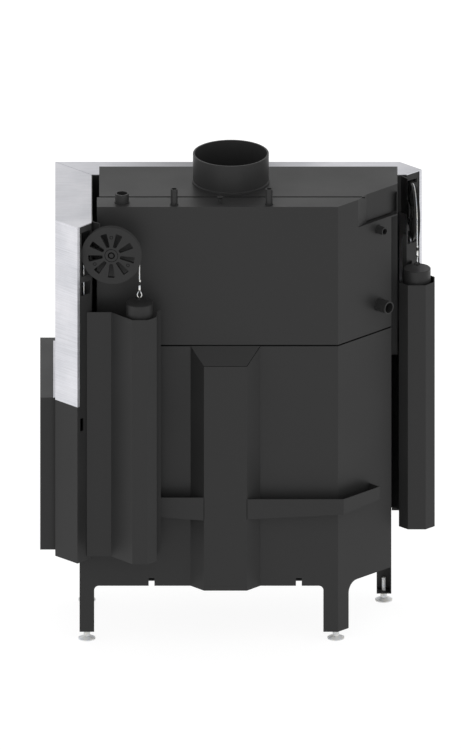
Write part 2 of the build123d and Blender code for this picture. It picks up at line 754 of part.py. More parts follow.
def casing_inner():
    line = [(CASING_SIDE - CHANNEL, 10), INNER_CORNER, (-385, CASING_FRONT - CHANNEL)]
    return bent_sheet(line, -SHEET, LEDGE + PLATE, CASING_TOP - SHEET)


# End post of the casing, in side-end position
def side_post():
    inner_x = CASING_SIDE - CHANNEL
    wall_start = (P2[0], P2[1] + SHEET * math.sqrt(2))
    top = CASING_TOP - SHEET
    wall = bent_sheet([wall_start, P3, (inner_x, FIREBOX_REAR)], SHEET, POST_BOTTOM, top)
    skin = bent_sheet([(CASING_SIDE, SKIN_END), P1, P2, P2_LIP], SHEET, POST_BOTTOM, FRAME_TOP)
    fin_line = [(inner_x + 0.5, -5.5), (inner_x - 19, -25)]
    post = wall + skin + bent_sheet(fin_line, SHEET, COVER_BOTTOM, FIN_TOP)
    for low, high, left, right in ((1033, 1155, 404, 381), (980, 1016, 404, 381), (606, 641, 407, 399)):
        middle = (left + right) / 2
        slot_depth = wall_start[1] + wall_start[0] - middle
        place = Pos(middle, y_at(slot_depth), (low + high) / 2) * Rot(0, 0, 45)
        post -= place * Box((left - right) * math.sqrt(2), 10, high - low)
    # Window in the inner wall, beside the rope, and the wall's edge cut away beside the pulley
    beside = (inner_x - 20, inner_x + 20)
    post -= block(*beside, POST_LIP, POST_WINDOW_END, LEDGE, CASING_TOP - POST_BRIDGE)
    post -= block(*beside, P3[1] + 1, POST_WINDOW_END, POST_NOTCH, CASING_TOP - POST_BRIDGE)
    # The return stops above the base
    return post - block(*beside, -4.5, FIREBOX_REAR + 1, POST_BOTTOM - 1, BASE_TOP)


# L-shaped band between the casing's faces and the frame's faces, pulled in at its two ends
def frame_band(proud, end_inset, low, high):
    side = HALF_WIDTH + proud
    front = CASING_FRONT + FRAME_PROUD_FRONT + proud
    rear_end = FRAME_END + end_inset
    right_end = FRAME_RIGHT + end_inset
    corners = [
        (side, rear_end), (side, front), (right_end, front), (right_end, CASING_FRONT),
        (CASING_SIDE, CASING_FRONT), (CASING_SIDE, rear_end)]
    return prism(corners, low, high)


# Frame that closes the gap to the built surround, round the corner opening
def facade_frame():
    whole = frame_band(0, 0, FRAME_BOTTOM, FRAME_TOP)
    return whole - frame_band(1, FRAME_BAR, FRAME_BOTTOM + FRAME_BAR, FRAME_TOP - FRAME_BAR)


# Tray under the door, from the base to the surround frame
def door_sill():
    low = POST_BOTTOM - 5
    side_end = SKIN_END + 0.5
    front_end = FRONT_END - SIDE_END + side_end
    edge = [(CASING_SIDE, side_end), OUTER_CORNER, (front_end, CASING_FRONT)]
    tray = prism([*edge, (front_end, BASE_FRONT), (BASE_LEFT, BASE_FRONT), (BASE_LEFT, side_end)], low, low + SHEET)
    return tray + bent_sheet(edge, -SHEET, low, FRAME_BOTTOM + 4)


def side_guide_rail():
    edge = RAIL_X + 22
    line = [(edge, -14), (RAIL_X, -14), (RAIL_X, 12), (edge, 12)]
    return bent_sheet(line, SHEET, BASE_TOP + 6, CASING_TOP - SHEET)


PULLEY_AXIS = Vector(
    math.sin(math.radians(PULLEY_TURN)), math.cos(math.radians(PULLEY_TURN)), 0)
PULLEY_RUN = Vector(PULLEY_AXIS.Y, -PULLEY_AXIS.X, 0)
WEIGHT_POINT = Vector(WEIGHT_X, y_at(WEIGHT_DEPTH), 0)
PULLEY_POINT = WEIGHT_POINT + PULLEY_RUN * PITCH_R
DOOR_RUN_POINT = WEIGHT_POINT + PULLEY_RUN * (2 * PITCH_R)
PULLEY_PLANE = Plane(
    origin=PULLEY_POINT + Vector(0, 0, PULLEY_Z), x_dir=PULLEY_RUN, z_dir=-PULLEY_AXIS)


# Grooved wheel with nine tapered slots: flat at the rear, dished at the front
def side_pulley():
    half = PULLEY_THICK / 2
    groove_r = PITCH_R - CABLE_R - 0.3
    groove_half = CABLE_R + 0.8
    dish = half - PULLEY_DISH
    recess = BOLT_RECESS - half
    section = Polyline(
        (AXLE_BORE, recess), (RECESS_R, recess), (RECESS_R, -half), (PULLEY_R, -half),
        (groove_r + 1, -groove_half), (groove_r, 0), (groove_r + 1, groove_half), (PULLEY_R, half),
        (PULLEY_RIM, half), (PULLEY_RIM, dish), (HUB_R, dish), (HUB_R, half), (AXLE_BORE, half),
        close=True)
    wheel = revolve(make_face(Plane.XZ * section), Axis.Z)
    slot_face = Polygon(
        (-SLOT_IN_HALF, -SLOT_IN_R), (SLOT_IN_HALF, -SLOT_IN_R),
        (SLOT_OUT_HALF, -SLOT_OUT_R), (-SLOT_OUT_HALF, -SLOT_OUT_R), align=None)
    slot = chamfer(slot_face.vertices(), 1.8)
    for step in range(SLOTS):
        wheel -= Rot(0, 0, step * 360 / SLOTS) * extrude(slot, PULLEY_THICK, both=True)
    return PULLEY_PLANE * wheel


# Pin through the pulley, its round head flush in the hub
def side_axle():
    half = PULLEY_THICK / 2
    front = half + 8
    pin = Pos(0, 0, (front - half) / 2) * Cylinder(AXLE_R, front + half)
    return PULLEY_PLANE * pin


# Folded plate from the post to the front side of the pulley, carrying its axle
def side_pulley_bracket():
    half = PULLEY_THICK / 2
    inner_x = CASING_SIDE - CHANNEL
    near = half + 4.5
    plate_z = near + BRACKET_PLATE / 2
    arm_end = Pos(0, 0, plate_z) * Cylinder(BRACKET_END_R, BRACKET_PLATE)
    arm = Pos(BRACKET_ARM / 2, 0, plate_z) * Box(BRACKET_ARM, 2 * BRACKET_END_R, BRACKET_PLATE)
    spacer = Pos(0, 0, half + 2.4) * Cylinder(9, 4.2)
    bracket = PULLEY_PLANE * (arm_end + arm + spacer)
    bracket -= PULLEY_PLANE * Cylinder(AXLE_R, 60)
    low = PULLEY_Z - BRACKET_END_R
    top = CASING_TOP - SHEET
    arm_x = PULLEY_POINT.X + BRACKET_ARM * PULLEY_RUN.X - 2
    arm_depth = REAR_Y - PULLEY_POINT.Y - BRACKET_ARM * PULLEY_RUN.Y + near
    wing = [(inner_x, 10), (inner_x, arm_depth + 16), (arm_x, arm_depth)]
    return bracket + bent_sheet(wing, BRACKET_PLATE, low, top)


# Half turn of cable over the top of the pulley, six-sided like its six strands
def side_cable_wrap():
    arc = CenterArc((0, 0), PITCH_R, 0, 180)
    start = Plane(origin=(PITCH_R, 0, 0), z_dir=(0, 1, 0))
    return PULLEY_PLANE * sweep(start * RegularPolygon(CABLE_R, 6), path=arc)


def upright_cable(point, bottom, top):
    return Pos(point.X, point.Y, (bottom + top) / 2) * Cylinder(CABLE_R, top - bottom)


def side_cable_weight_run():
    return upright_cable(WEIGHT_POINT, CABLE_END_TOP, PULLEY_Z)


def side_cable_door_run():
    return upright_cable(DOOR_RUN_POINT, DOOR_HOOK_TOP, PULLEY_Z)


def side_counterweight():
    middle = WEIGHT_TOP - WEIGHT_LONG / 2
    weight = Pos(WEIGHT_POINT.X, WEIGHT_POINT.Y, middle) * Cylinder(WEIGHT_R, WEIGHT_LONG)
    return chamfer(weight.edges(), 1.5)


# Eye on the weight, loop of rope and two pressed sleeves at the end of the cable
def side_cable_end():
    eye_z = WEIGHT_TOP + EYE_RISE
    loop_z = eye_z + LOOP_RISE
    shank = Pos(0, 0, (WEIGHT_TOP + eye_z - EYE_BORE) / 2) * Cylinder(EYE_THICK, eye_z - EYE_BORE - WEIGHT_TOP)
    eye_face = Circle(EYE_R) - Circle(EYE_BORE)
    eye = Pos(0, 0, eye_z) * Rot(90, 0, 0) * extrude(eye_face, EYE_THICK / 2, both=True)
    # Teardrop of rope through the eye
    drop = Polygon((-LOOP_R, 0), (LOOP_R, 0), (CABLE_R, 2 * LOOP_R), (-CABLE_R, 2 * LOOP_R), align=None)
    loop_face = drop + Circle(LOOP_R)
    inner = LOOP_R - 2 * CABLE_R
    gap = Circle(inner) + Polygon((-inner, 0), (inner, 0), (0, 1.6 * LOOP_R), align=None)
    loop = Pos(0, 0, loop_z) * Rot(90, 0, 0) * extrude(loop_face - gap, CABLE_R, both=True)
    low = loop_z + 2 * LOOP_R - 1
    sleeve = Pos(0, 0, low + SLEEVE / 2) * Cylinder(SLEEVE_R, SLEEVE)
    stop = Pos(0, 0, CABLE_END_TOP - STOP / 2) * Cylinder(SLEEVE_R, STOP)
    middle = (low + CABLE_END_TOP) / 2
    rope = Pos(0, 0, middle) * Cylinder(CABLE_R, CABLE_END_TOP - low)
    whole = shank + eye + loop + sleeve + rope + stop
    return Pos(WEIGHT_POINT.X, WEIGHT_POINT.Y, 0) * whole


# Folded cover round the counterweight's path
def side_weight_cover(lip):
    x = WEIGHT_X
    depth = WEIGHT_DEPTH
    flange = depth + 12.9
    line = [
        (390.4, flange), (x + 73.5, flange), (x + 19, depth - 45.5), (x - 21, depth - 45.5),
        (x - 44.5, depth - 22), (x - 44.5, depth + 24), lip]
    return bent_sheet(line, SHEET, COVER_BOTTOM, COVER_TOP)


def door_line(offset):
    x = CASING_SIDE - offset
    depth = CASING_FRONT - offset
    return [(x, SIDE_END + DOOR_END), (x, depth), (FRONT_END + DOOR_END, depth)]


# Door rail of channel section, open towards the fire
def door_rail(low, high):
    rail = bent_sheet(door_line(DOOR_GAP), -DOOR_THICK, low, high)
    hollow = bent_sheet(door_line(DOOR_GAP + DOOR_WALL), -DOOR_THICK, low + DOOR_WALL, high - DOOR_WALL)
    return rail - hollow


# End stile of the door, of the same channel section, in side-end position
def side_stile():
    outer = CASING_SIDE - DOOR_GAP
    end = SIDE_END + DOOR_END
    wall = DOOR_WALL
    stile = block(outer - DOOR_THICK, outer, end, end + RAIL, DOOR_BOTTOM, DOOR_TOP)
    return stile - block(
        outer - DOOR_THICK - 1, outer - wall, end + wall, end + RAIL - wall, DOOR_BOTTOM + wall, DOOR_TOP - wall)


# Corner door frame: two bent rails, two end stiles and the carriages that the cables lift
def door_frame():
    frame = door_rail(DOOR_BOTTOM, DOOR_BOTTOM + LOW_RAIL) + door_rail(DOOR_TOP - RAIL, DOOR_TOP)
    for piece in (side_stile(), side_carriage()):
        frame += piece
        frame += at_front_end(piece)
    return frame - front_glass() - side_glass()


def front_glass():
    depth = CASING_FRONT - GLASS_SETBACK
    left = CASING_SIDE - GLASS_SETBACK
    right = FRONT_END + DOOR_END + 12
    return block(right, left, depth - GLASS, depth, GLASS_BOTTOM, GLASS_TOP)


def side_glass():
    left = CASING_SIDE - GLASS_SETBACK
    front = CASING_FRONT - GLASS_SETBACK - GLASS
    rear = SIDE_END + DOOR_END + 12
    return block(left - GLASS, left, rear, front, GLASS_BOTTOM, GLASS_TOP)


# Slider shoes in the guide rail and the plate that the cable is clamped to, in side-end position
def side_carriage():
    x_cable = DOOR_RUN_POINT.X
    depth_cable = REAR_Y - DOOR_RUN_POINT.Y
    stile_x = CASING_SIDE - DOOR_GAP - DOOR_THICK
    carriage = None
    for low in (DOOR_BOTTOM + 40, DOOR_TOP - 60):
        shoe = block(RAIL_X + 5, RAIL_X + 19, -6, 4, low, low + 40)
        arm = block(RAIL_X + 12, stile_x, -3, 1, low + 10, low + 30)
        carriage = shoe + arm if carriage is None else carriage + shoe + arm
    low = DOOR_HOOK_TOP - 90
    plate = bent_sheet(
        [(stile_x + 12, -4), (stile_x + 12, depth_cable), (x_cable, depth_cable)],
        3, low, DOOR_HOOK_TOP - 20)
    foot_plate = block(stile_x + 9, stile_x + 12, -6, -4, low, DOOR_HOOK_TOP - 20)
    clamp = cylinder_at(x_cable, depth_cable, low + 40, DOOR_HOOK_TOP, 3.6)
    return carriage + plate + foot_plate + clamp


# Bar handle across the foot of the front pane
def door_handle():
    depth = FRONT_REACH - HANDLE_R
    bar = Pos(20, y_at(depth), HANDLE_Z) * Rot(0, 90, 0) * Cylinder(HANDLE_R, HANDLE_LONG)
    bar = chamfer(bar.edges(), 2)
    front = CASING_FRONT - DOOR_GAP
    for x in (-90, 130):
        post = Pos(x, y_at((front + depth) / 2), HANDLE_Z) * Rot(90, 0, 0) * Cylinder(5, depth - front)
        bar += post
        foot = Pos(x, y_at(front + 1.5), HANDLE_Z) * Rot(90, 0, 0) * Cylinder(8, 3)
        bar += foot
    return bar


# Air lever: rod with a knob at the front of the base, and the shutter that it moves
def air_lever():
    back = BASE_FRONT - BASE_SHEET - 3.5
    rod = Pos(LEVER_X, y_at(back + 24), LEVER_Z) * Rot(90, 0, 0) * Cylinder(4, 48)
    knob = Pos(LEVER_X, y_at(back + 57), LEVER_Z) * Rot(90, 0, 0) * Cylinder(9, 26)
    knob = chamfer(knob.edges(), 3)
    shutter = block(LEVER_X - 40, LEVER_X + 40, back, back + 3, AIR_HOLE_Z - 12, LEVER_Z + 10)
    for step in range(AIR_HOLES):
        x = LEVER_X - LEVER_TRAVEL + AIR_HOLE_PITCH * (step - 1)
        shutter -= Pos(x, y_at(back), AIR_HOLE_Z) * Rot(90, 0, 0) * Cylinder(6.5, 10)
    return rod + knob + shutter


# Levelling foot: pad with a sloped top, lock nut under the leg and threaded rod
def foot(x, depth):
    nut_top = LEG_BOTTOM - 0.3
    section = Polyline((0, 0), (PAD_R, 0), (PAD_R, 3), (FOOT_NUT_R, 9), (0, 9), close=True)
    pad = revolve(make_face(Plane.XZ * section), Axis.Z)
    nut = extrude(Pos(0, 0, 9) * RegularPolygon(FOOT_NUT_R, 6), nut_top - 9)
    rod = Pos(0, 0, (nut_top + FOOT_TALL) / 2) * Cylinder(FOOT_ROD_R, FOOT_TALL - nut_top)
    return Pos(x, y_at(depth), 0) * (pad + nut + rod)


parts = {
    "lower_shell": lower_shell(),
    "base_plate": base_plate(),
    "ash_pit": ash_pit(),
    "firebox_shell": firebox_shell(),
    "firebox_neck": firebox_neck(),
    "rear_lining": rear_lining(),
    "side_lining": side_lining(),
    "hearth_plate": hearth_plate(),
    "ash_pan": ash_pan(),
    "grate": grate(),
    "baffle_plate": baffle_plate(),
    "water_shelf": water_shelf(),
    "jacket_shell": jacket_shell(),
    "jacket_lid_rear": jacket_lid_rear(),
    "jacket_lid_front": jacket_lid_front(),
    "flue_collar": flue_collar(),
    "hot_water_outlet": hot_water_outlet(),
    "cooling_coil": cooling_coil(),
    "sensor_pocket": sensor_pocket(),
    "return_stub": return_stub(),
    "drain_stub": drain_stub(),
    "corner_cover": corner_cover(),
    "side_panel": side_panel(),
    "rear_air_duct": rear_air_duct(),
    "air_channel_left": air_channel_left(),
    "air_channel_right": air_channel_right(),
    "casing_front": casing_front(),
    "casing_side": casing_side(),
    "casing_top": casing_top(),
    "casing_inner": casing_inner(),
    "facade_frame": facade_frame(),
    "door_frame": door_frame(),
    "front_glass": front_glass(),
    "side_glass": side_glass(),
    "door_handle": door_handle(),
    "air_lever": air_lever(),
    "door_sill": door_sill(),
}

# Pieces that stand at both ends of the casing, each end a node of its own
both_ends = {
    "post": side_post(),
    "pulley_bracket": side_pulley_bracket(),
    "pulley": side_pulley(),
    "cable_weight_run": side_cable_weight_run(),
    "cable_door_run": side_cable_door_run(),
    "counterweight": side_counterweight(),
    "cable_end": side_cable_end(),
}
for name, shape in both_ends.items():
    parts[name + "_left"] = shape
    parts[name + "_right"] = at_front_end(shape)
out_lip = (WEIGHT_X - 55, WEIGHT_DEPTH + 24)
in_lip = (WEIGHT_X - 21, WEIGHT_DEPTH + 47.5)
parts["weight_cover_left"] = side_weight_cover(out_lip)
parts["weight_cover_right"] = at_front_end(side_weight_cover(in_lip))

# Fixed pieces that are the same at both ends share a node
pairs = {
    "guide_rails": side_guide_rail(),
    "pulley_axles": side_axle(),
    "cable_wraps": side_cable_wrap(),
}
for name, shape in pairs.items():
    parts[name] = Compound(children=[shape, at_front_end(shape)])

for number, (foot_x, foot_depth) in enumerate(foot_places(), start=1):
    parts["foot_" + str(number)] = foot(foot_x, foot_depth)

os.makedirs("parts", exist_ok=True)
for name, shape in parts.items():
    export_step(shape, "parts/" + name + ".step")
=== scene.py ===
import json
import math

import bmesh
import bpy
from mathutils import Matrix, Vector


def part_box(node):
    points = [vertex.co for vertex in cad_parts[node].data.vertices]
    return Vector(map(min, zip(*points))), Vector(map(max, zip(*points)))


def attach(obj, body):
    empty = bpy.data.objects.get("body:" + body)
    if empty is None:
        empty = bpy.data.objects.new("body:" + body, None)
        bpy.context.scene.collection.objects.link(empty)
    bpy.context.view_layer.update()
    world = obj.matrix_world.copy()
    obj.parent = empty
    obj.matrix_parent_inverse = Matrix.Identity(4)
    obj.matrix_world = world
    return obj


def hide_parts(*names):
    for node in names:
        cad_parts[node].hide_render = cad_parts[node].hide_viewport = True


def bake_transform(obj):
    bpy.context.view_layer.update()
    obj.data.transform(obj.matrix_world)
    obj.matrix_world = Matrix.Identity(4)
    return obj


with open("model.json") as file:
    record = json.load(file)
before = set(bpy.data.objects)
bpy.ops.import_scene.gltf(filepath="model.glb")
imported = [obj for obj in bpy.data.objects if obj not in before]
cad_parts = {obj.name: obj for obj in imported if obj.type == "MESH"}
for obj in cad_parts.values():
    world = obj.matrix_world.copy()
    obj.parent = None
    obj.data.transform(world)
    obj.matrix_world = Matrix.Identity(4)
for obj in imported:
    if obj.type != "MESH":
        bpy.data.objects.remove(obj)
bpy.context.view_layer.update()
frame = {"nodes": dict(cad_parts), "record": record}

nodes = frame["nodes"]

# Sizes and heights in metres, in the frame of the solids

# Wire ropes: radius, length of one turn of the strands, and how finely they are drawn
ROPE_R = 0.0014
ROPE_PITCH = 0.026
ROPE_STRANDS = 6
STRAND_SIDES = 6
ROPE_STEP = 0.0025
ROPE_ARC_STEPS = 90

# Heights that the ropes run between, and how far a rope reaches down into its clip
PULLEY_Z = 1.092
WEIGHT_TOP = 0.963
ROPE_END = WEIGHT_TOP + 0.062
ROPE_TUCK = 0.004
DOOR_HOOK = 0.6

# Weight's eye: where it starts above the weight's top, its height and half width, and its wire
EYE_UP = 0.008
EYE_R = 0.0065
EYE_WIRE_R = 0.002
EYE_SIDES = 12

# Rope's loop: heights above the weight's top, half width and how far it narrows upwards
LOOP_LOW = 0.0143
LOOP_HIGH = 0.034
LOOP_WIDE = 0.0082
LOOP_NARROWING = 0.75
LOOP_R = 0.0013
LOOP_STEPS = 32
LOOP_SIDES = 10

# Sleeve and clip pressed on the rope: heights above the weight's top, and the neck between them
SLEEVE = (0.0278, 0.0482)
SLEEVE_R = 0.0031
SLEEVE_SIDES = 20
CLIP = (0.0566, 0.0625)
CLIP_R = 0.0026
CLIP_OFF = 0.0011
NECK_R = 0.0023
NECK_TUCK = 0.001
NECK_SIDES = 16

# Fine lines of painted shade that mark seams and rings
SEAM_R = 0.0006
SEAM_SIDES = 8

# Pulleys' rear faces: distance from the middle, marks and rings on them drawn as lines of painted
# shade, and which way they look
PULLEY_FACE = 0.00725
MARK_OUT = 0.05
MARK_R = 0.0039
MARK_ANGLES = (90, 210, 330)
HUB_RING_R = 0.017
PIN_GAP_R = 0.0075
PIN_GAP_WIDE = 0.0012
RING_STEPS = 48
OUTWARD = {"left": Vector((0, 1, 0)), "right": Vector((-1, 0, 0))}

# Air duct: half width of its face, drop of its slanted head and where the channels' seams begin
DUCT_FACE_HALF = 0.0557
DUCT_HEAD_DROP = 0.043
CHANNEL_SEAM_FOOT = 0.347

# Flue collar: outer and inner radius, height and reach of its weld, rounding of its rim
COLLAR_OUTER = 0.0985
COLLAR_BORE = 0.0935
COLLAR_WELD_UP = 0.005
COLLAR_WELD = 0.0015
COLLAR_ROUND = 0.0012
COLLAR_SIDES = 96
COLLAR_SHARP = math.radians(40)

# Hem under the recessed panel: its line in plan, its thickness, each stretch's foot and its top
HEM_LINE = [(-0.3125, 0.127), (-0.334, 0.0885), (-0.4125, 0.010)]
HEM_THICK = 0.0018
HEM_FOOTS = (1.1245, 1.1275)
HEM_TOP = 1.1322

# Dark line in the groove between the two parts of the top
LID_SEAM_IN = 0.0015
LID_SEAM_DOWN = 0.0014
LID_SEAM_R = 0.0012
LID_SEAM_END = -0.3305

# Shares of white in the paint and the zinc
PAINT = 0.0295
GALVANISED = 0.76

# Painted reflection on the top sheet: broad dark bands in its shine, period 0.8 m, darkest 0.06 m
# beside the middle
PAINTED_REFLECTION_SCALE = 0.3927
PAINTED_REFLECTION_PHASE = -0.471
PAINTED_REFLECTION_DARK = 0.4

# Floor: half its side, its grey as the object sees it, then its glow and shade for the camera
FLOOR_HALF = 12.0
FLOOR_GREY = 0.8
FLOOR_GLOW = 0.875
FLOOR_SHADE = 0.25

# Sky: sine of the elevation up to which it is white, and its strength overhead
SKY_WHITE_TO = 0.1
SKY_OVERHEAD = 0.6

# The photograph's view: from behind, square to the rear wall, without perspective
VIEW_ELEVATION = 20.7
VIEW_AIM = (0.018, 0.0, 0.668)
VIEW_HEIGHT = 1.9425
VIEW_AWAY = 6.0
VIEW_CLIP_END = 60.0

# Usual range of a noise, and the mix node's sockets for colours
NOISE_LOW = 0.3
NOISE_HIGH = 0.7
MIX_FIRST = 6
MIX_SECOND = 7
MIX_RESULT = 2

WHITE = (1, 1, 1, 1)
UP = Vector((0, 0, 1))


# Material helpers


# Sets a node's inputs by name, with an underscore for each space
def fill(node, **values):
    for name, value in values.items():
        node.inputs[name.replace("_", " ")].default_value = value


def grey(level, warm=0.0):
    return (level * (1 + warm), level, level * (1 - warm), 1)


class Tree:
    """The nodes of a material or of the world, with short ways to add and join them"""

    def __init__(self, owner):
        owner.use_nodes = True
        self.nodes = owner.node_tree.nodes
        self.links = owner.node_tree.links

    def node(self, kind, **settings):
        made = self.nodes.new(kind)
        for name, value in settings.items():
            setattr(made, name, value)
        return made

    def join(self, source, target):
        self.links.new(source, target)

    def axes(self, source):
        split = self.node("ShaderNodeSeparateXYZ")
        self.join(source, split.inputs[0])
        return split.outputs

    def maths(self, operation, *sources):
        made = self.node("ShaderNodeMath", operation=operation)
        for source, target in zip(sources, made.inputs):
            self.join(source, target)
        return made.outputs[0]


class Shader(Tree):
    """One material with its Principled shader"""

    def __init__(self, name, **constants):
        self.material = bpy.data.materials.new(name)
        super().__init__(self.material)
        self.surface = self.nodes["Principled BSDF"]
        fill(self.surface, **constants)
        coordinates = self.node("ShaderNodeTexCoord")
        self.place = coordinates.outputs["Object"]
        self.facing = coordinates.outputs["Normal"]

    # Noise whose grain is stretched by giving each axis its own scale
    def noise(self, scale, detail=4.0, roughness=0.5, stretch=(1, 1, 1), place=None):
        mapping = self.node("ShaderNodeMapping")
        fill(mapping, Scale=stretch)
        self.join(place or self.place, mapping.inputs["Vector"])
        noise = self.node("ShaderNodeTexNoise")
        fill(noise, Scale=scale, Detail=detail, Roughness=roughness)
        self.join(mapping.outputs["Vector"], noise.inputs["Vector"])
        return noise.outputs["Fac"]

    # Colours along a source, from a list of positions and colours
    def ramp(self, source, stops):
        ramp = self.node("ShaderNodeValToRGB")
        elements = ramp.color_ramp.elements
        while len(elements) < len(stops):
            elements.new(0.5)
        for element, (position, colour) in zip(elements, stops):
            element.position = position
            element.color = colour
        self.join(source, ramp.inputs["Fac"])
        return ramp.outputs["Color"]

    # Two colours over the usual range of a noise
    def tones(self, source, low, high):
        return self.ramp(source, [(NOISE_LOW, low), (NOISE_HIGH, high)])

    # The usual range of a noise spread from one number to another
    def spread(self, source, low, high):
        mapped = self.node("ShaderNodeMapRange")
        fill(mapped, From_Min=NOISE_LOW, From_Max=NOISE_HIGH, To_Min=low, To_Max=high)
        self.join(source, mapped.inputs["Value"])
        return mapped.outputs["Result"]

    # Two colours mixed by a share, which is a number or comes from a node
    def mix(self, share, first, second, blend_type="MIX"):
        mixed = self.node("ShaderNodeMix", data_type="RGBA", blend_type=blend_type)
        if isinstance(share, float):
            fill(mixed, Factor=share)
        else:
            self.join(share, mixed.inputs["Factor"])
        self.join(first, mixed.inputs[MIX_FIRST])
        self.join(second, mixed.inputs[MIX_SECOND])
        return mixed.outputs[MIX_RESULT]

    def bump(self, height, strength, distance, below=None):
        bump = self.node("ShaderNodeBump")
        fill(bump, Strength=strength, Distance=distance)
        self.join(height, bump.inputs["Height"])
        if below is not None:
            self.join(below, bump.inputs["Normal"])
        self.join(bump.outputs["Normal"], self.surface.inputs["Normal"])
        return bump.outputs["Normal"]

    def colour(self, source):
        self.join(source, self.surface.inputs["Base Color"])

    def gloss(self, source):
        self.join(source, self.surface.inputs["Roughness"])


# Fine-textured powder coat: orange peel, faint cloudiness and a few pale rubs
def powder_coat(name, level, roughness=0.45, specular=0.27, peel=0.35):
    shader = Shader(name, Specular_IOR_Level=specular)
    clouds = shader.noise(scale=5.0, detail=5.0)
    base = shader.tones(clouds, grey(level * 0.92), grey(level * 1.08))
    specks = shader.noise(scale=1400.0, detail=2.0)
    speckled = shader.ramp(specks, [(0.25, grey(level * 0.8)), (0.8, grey(level * 1.25))])
    grain = shader.spread(specks, low=0.25, high=0.45)
    shader.colour(shader.mix(grain, base, speckled))
    shader.gloss(shader.spread(clouds, low=roughness - 0.05, high=roughness + 0.06))
    coarse = shader.noise(scale=420.0, detail=3.0)
    normal = shader.bump(coarse, strength=peel, distance=0.0002)
    shader.bump(specks, strength=peel * 0.5, distance=0.0001, below=normal)
    return shader.material


# Places that make the grain run level on upright sheet and across the width on the top
def sheet_places(shader, upward):
    axes = shader.axes(shader.place)
    drawn_out = shader.spread(upward, low=5.0, high=420.0)
    places = shader.node("ShaderNodeCombineXYZ")
    shader.join(axes["X"], places.inputs["X"])
    shader.join(shader.maths("MULTIPLY", axes["Y"], drawn_out), places.inputs["Y"])
    shader.join(axes["Z"], places.inputs["Z"])
    return places.outputs[0]


# Painted reflection: broad dark bands that follow one another along the width
def painted_reflection_bands(shader):
    bands = shader.node("ShaderNodeTexWave", bands_direction="X")
    fill(bands, Scale=PAINTED_REFLECTION_SCALE, Phase_Offset=PAINTED_REFLECTION_PHASE)
    shader.join(shader.place, bands.inputs["Vector"])
    return shader.ramp(bands.outputs["Fac"], [(0.0, grey(PAINTED_REFLECTION_DARK)), (1.0, WHITE)])


# Galvanised sheet with a brushed grain and painted reflection bands on faces that look up; the
# inside switch paints shade that darkens the faces looking to the rear
def brushed_sheet(name, level, roughness=0.34, painted_inside_shade=False):
    shader = Shader(name, Metallic=1.0, Anisotropic=0.4)

    def zinc(share, blue=0.0):
        return (level * share * (1 - blue), level * share, level * share * (1.05 + blue), 1)

    facing = shader.axes(shader.facing)
    upward = shader.maths("ABSOLUTE", facing["Z"])
    places = sheet_places(shader, upward)
    fine = shader.noise(scale=1.0, detail=6.0, roughness=0.75, stretch=(7, 1, 420), place=places)
    broad = shader.noise(scale=1.0, detail=4.0, roughness=0.6, stretch=(7, 9, 8))
    streaks = shader.tones(fine, zinc(0.66), zinc(1.18))
    clouds = shader.tones(broad, zinc(0.7, 0.03), zinc(1.14, -0.01))
    about_half = shader.spread(broad, low=0.35, high=0.55)
    colour = shader.mix(about_half, streaks, clouds)
    # Painted reflection: the dark bands are multiplied in on faces that look up
    colour = shader.mix(upward, colour, painted_reflection_bands(shader), blend_type="MULTIPLY")
    # Painted shade: faces that look to the rear turn nearly black, standing for the unlit inside
    # of a casing
    if painted_inside_shade:
        inside_painted_shade = shader.ramp(facing["Y"], [(0.8, WHITE), (0.95, grey(0.05))])
        colour = shader.mix(1.0, colour, inside_painted_shade, blend_type="MULTIPLY")
    shader.colour(colour)
    shader.gloss(shader.spread(fine, low=roughness - 0.06, high=roughness + 0.1))
    shader.bump(fine, strength=0.2, distance=0.0001)
    return shader.material


def plain_metal(name, level, roughness):
    shader = Shader(name, Metallic=1.0)
    marks = shader.noise(scale=300.0, detail=5.0, roughness=0.6)
    shader.colour(shader.tones(marks, grey(level * 0.85), grey(level * 1.1)))
    shader.gloss(shader.spread(marks, low=roughness - 0.08, high=roughness + 0.1))
    shader.bump(marks, strength=0.1, distance=0.0001)
    return shader.material


# Cast iron, with the grain of the mould's sand
def casting(name, level, roughness=0.6, warm=0.02):
    shader = Shader(name, Metallic=0.35, Specular_IOR_Level=0.3)
    sand = shader.noise(scale=650.0, detail=4.0, roughness=0.65)
    broad = shader.noise(scale=35.0, detail=3.0)
    shader.colour(shader.tones(broad, grey(level * 0.88, warm), grey(level * 1.12, warm)))
    shader.gloss(shader.spread(sand, low=roughness - 0.08, high=roughness + 0.08))
    shader.bump(sand, strength=0.6, distance=0.0003)
    return shader.material


# Vermiculite slabs: pressed golden flakes, smoked darker in patches
def vermiculite(name):
    shader = Shader(name, Roughness=0.9, Specular_IOR_Level=0.2)
    flakes = shader.node("ShaderNodeTexVoronoi")
    fill(flakes, Scale=420.0)
    shader.join(shader.place, flakes.inputs["Vector"])
    tint = shader.ramp(flakes.outputs["Distance"], [
        (0.1, (0.50, 0.42, 0.29, 1)),
        (0.5, (0.62, 0.55, 0.42, 1)),
        (0.8, (0.72, 0.66, 0.54, 1))])
    smoke = shader.noise(scale=4.0, detail=6.0, roughness=0.6)
    stain = shader.ramp(smoke, [(0.35, (0.34, 0.29, 0.22, 1)), (0.7, (0.62, 0.55, 0.43, 1))])
    share = shader.spread(smoke, low=0.45, high=0.2)
    shader.colour(shader.mix(share, tint, stain))
    pits = shader.noise(scale=500.0, detail=5.0, roughness=0.7)
    shader.bump(pits, strength=0.6, distance=0.0006)
    return shader.material


def ceramic_glass(name):
    shader = Shader(name, Roughness=0.03, IOR=1.5, Transmission_Weight=1.0)
    haze = shader.noise(scale=8.0, detail=3.0)
    shader.colour(shader.tones(haze, (0.90, 0.86, 0.80, 1), (0.94, 0.91, 0.86, 1)))
    shader.gloss(shader.spread(haze, low=0.02, high=0.06))
    return shader.material


